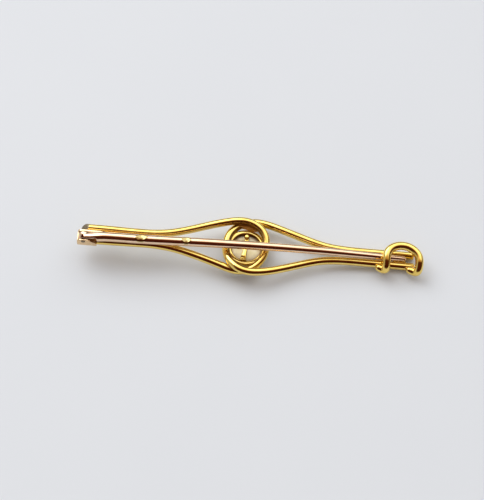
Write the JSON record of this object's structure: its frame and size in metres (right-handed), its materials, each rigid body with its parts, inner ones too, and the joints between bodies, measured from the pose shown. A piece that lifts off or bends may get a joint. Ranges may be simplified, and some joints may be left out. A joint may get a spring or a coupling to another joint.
{
  "type": "hinged bar pin",
  "caption": "Gold wire bar pin: two interlocked loops knotted round a ring, with a hinged tapered stem that is held under a wire hook.",
  "frame": {"origin": "centre of the bounding box in X and Y, at the lowest point of the front ornament", "axes": "+X from the hinge to the hook along the bar, +Z from the front ornament to the pin stem side"},
  "size_m": [0.0502, 0.0096, 0.005],
  "materials": {
    "yellow_gold": "polished, lightly worn",
    "rose_gold": "polished drawn wire",
    "gold_solder": "satin",
    "rivet_metal": "dull grey",
    "pearl": "pearl lustre"
  },
  "bodies": {
    "frame": {"left_loop_wire": "yellow_gold", "right_loop_wire": "yellow_gold", "centre_ring": "yellow_gold", "front_plate": "yellow_gold", "pearl_collet": "yellow_gold", "ring_crossbar": "yellow_gold", "crossbar_bead": "yellow_gold", "crossbar_claw": "yellow_gold", "hinge_bracket": "yellow_gold", "catch_hook": "yellow_gold", "solder_knot_far": "gold_solder", "solder_knot_near": "gold_solder", "solder_ring_left": "gold_solder", "solder_ring_right": "gold_solder", "solder_hinge_far": "gold_solder", "solder_hinge_near": "gold_solder", "solder_bars_left": "gold_solder", "solder_bars_right": "gold_solder", "solder_catch_left": "gold_solder", "solder_catch_right": "gold_solder", "hinge_rivet": "rivet_metal", "half_pearl": "pearl"},
    "stem": {"pin_stem": "rose_gold"}
  },
  "joints": [
    {"name": "stem_swing", "type": "hinge", "parent": "frame", "child": "stem", "pos_m": [-0.02417, -0.00119, 0.00292], "axis": [0, -1, 0], "range_deg": [0, 100]}
  ]
}
